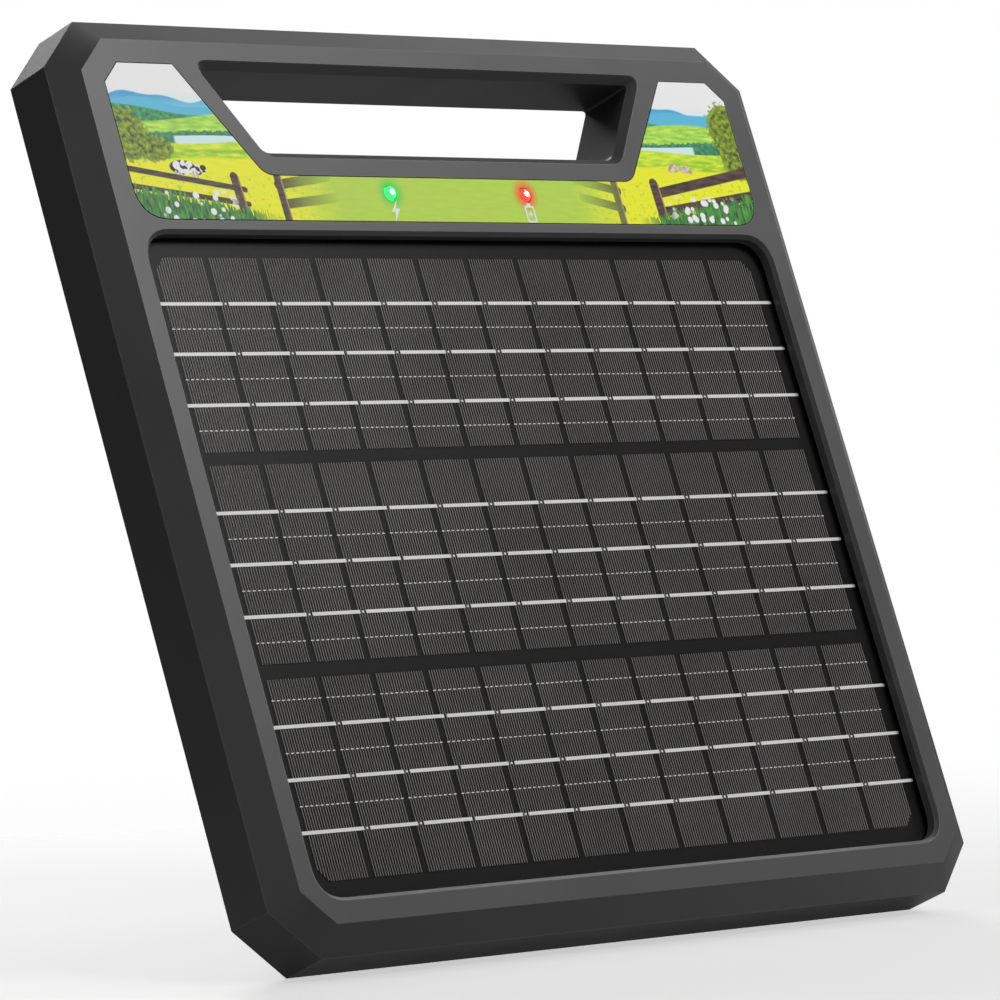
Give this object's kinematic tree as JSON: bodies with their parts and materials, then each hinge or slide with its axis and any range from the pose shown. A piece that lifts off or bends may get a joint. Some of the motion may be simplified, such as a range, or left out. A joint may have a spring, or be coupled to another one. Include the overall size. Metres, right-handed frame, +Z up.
{
  "type": "fence energizer",
  "caption": "Solar fence energizer: framed solar panel slab with a carry handle, a rear box with fence and ground terminals, a charging jack and a folding stand.",
  "frame": {"origin": "middle of the bounding box on the floor that the energizer stands on", "axes": "+X to the right seen from the front, -Y the way the solar panel faces, +Z up; the slab leans back 22.68 degrees"},
  "size_m": [0.321, 0.1552, 0.3041],
  "materials": {
    "frame_plastic": "satin charcoal moulding",
    "overlay_print": "printed polycarbonate overlay",
    "lens_green": "clear green moulding",
    "lens_red": "clear red moulding",
    "clear_sheet": "clear polymer front sheet",
    "solar_cells": "dark cells under clear film",
    "shell_plastic": "fine-textured black moulding",
    "seal_rubber": "matt black rubber",
    "red_plastic": "red moulding",
    "circuit_board": "green solder mask",
    "bright_steel": "zinc-plated steel",
    "sleeved_can": "blue shrink sleeve on a can",
    "ferrite_core": "sintered ferrite",
    "copper_winding": "enamelled copper",
    "alloy_fins": "extruded alloy",
    "coated_leg": "black powder coat"
  },
  "bodies": {
    "housing": {"front_frame": "frame_plastic", "graphic_overlay": "overlay_print", "status_lens_green": "lens_green", "status_lens_red": "lens_red", "clear_front_sheet": "clear_sheet", "solar_laminate": "solar_cells", "panel_junction_pad": "shell_plastic", "rear_shell": "shell_plastic", "battery_tray": "shell_plastic", "battery_door": "shell_plastic", "ground_collar": "shell_plastic", "switch_body": "shell_plastic", "charging_jack": "shell_plastic", "perimeter_gasket": "seal_rubber", "cap_strap": "seal_rubber", "panel_wire_black": "seal_rubber", "fence_collar": "red_plastic", "panel_wire_red": "red_plastic", "lamp_board": "circuit_board", "control_board": "circuit_board", "shell_screw_1": "bright_steel", "shell_screw_2": "bright_steel", "shell_screw_3": "bright_steel", "shell_screw_4": "bright_steel", "shell_screw_5": "bright_steel", "shell_screw_6": "bright_steel", "shell_screw_7": "bright_steel", "shell_screw_8": "bright_steel", "board_screw_1": "bright_steel", "board_screw_2": "bright_steel", "board_screw_3": "bright_steel", "board_screw_4": "bright_steel", "door_screw_1": "bright_steel", "door_screw_2": "bright_steel", "fence_stud": "bright_steel", "ground_stud": "bright_steel", "stand_pin": "bright_steel", "battery_cell_1": "sleeved_can", "battery_cell_2": "sleeved_can", "battery_cell_3": "sleeved_can", "battery_cell_4": "sleeved_can", "storage_capacitor_1": "sleeved_can", "storage_capacitor_2": "sleeved_can", "transformer_core": "ferrite_core", "transformer_winding": "copper_winding", "transistor_heat_sink": "alloy_fins"},
    "stand": {"stand_leg": "coated_leg", "stand_foot": "seal_rubber"},
    "power_rocker": {"power_rocker": "red_plastic"},
    "jack_cap": {"jack_cap": "seal_rubber"},
    "fence_washer": {"fence_washer": "bright_steel"},
    "fence_knob": {"fence_knob": "red_plastic"},
    "ground_washer": {"ground_washer": "bright_steel"},
    "ground_knob": {"ground_knob": "shell_plastic"}
  },
  "joints": [
    {"name": "stand_fold", "type": "hinge", "parent": "housing", "child": "stand", "pos_m": [0, 0.04734, 0.14165], "axis": [1, 0, 0], "range_deg": [-33, 0]},
    {"name": "rocker_tilt", "type": "hinge", "parent": "housing", "child": "power_rocker", "pos_m": [-0.0938, 0.01073, 0.11577], "axis": [0, 0.9227, -0.3856], "range_deg": [-18, 0]},
    {"name": "cap_swing", "type": "hinge", "parent": "housing", "child": "jack_cap", "pos_m": [-0.0984, -0.0055, 0.07692], "axis": [0, 0.9227, -0.3856], "range_deg": [0, 115]},
    {"name": "fence_washer_slide", "type": "slide", "parent": "housing", "child": "fence_washer", "axis": [1, 0, 0], "range_m": [0, 0.004]},
    {"name": "fence_knob_turn", "type": "hinge", "parent": "fence_washer", "child": "fence_knob", "pos_m": [0.11, 0.01073, 0.11577], "axis": [1, 0, 0], "range_deg": [0, 1440]},
    {"name": "ground_washer_slide", "type": "slide", "parent": "housing", "child": "ground_washer", "axis": [1, 0, 0], "range_m": [0, 0.004]},
    {"name": "ground_knob_turn", "type": "hinge", "parent": "ground_washer", "child": "ground_knob", "pos_m": [0.11, -0.01009, 0.06594], "axis": [1, 0, 0], "range_deg": [0, 1440]}
  ],
  "couplings": [
    {"joint": "fence_knob_turn", "follows": "fence_washer_slide", "rad_per_m": 6283.2},
    {"joint": "ground_knob_turn", "follows": "ground_washer_slide", "rad_per_m": 6283.2}
  ]
}
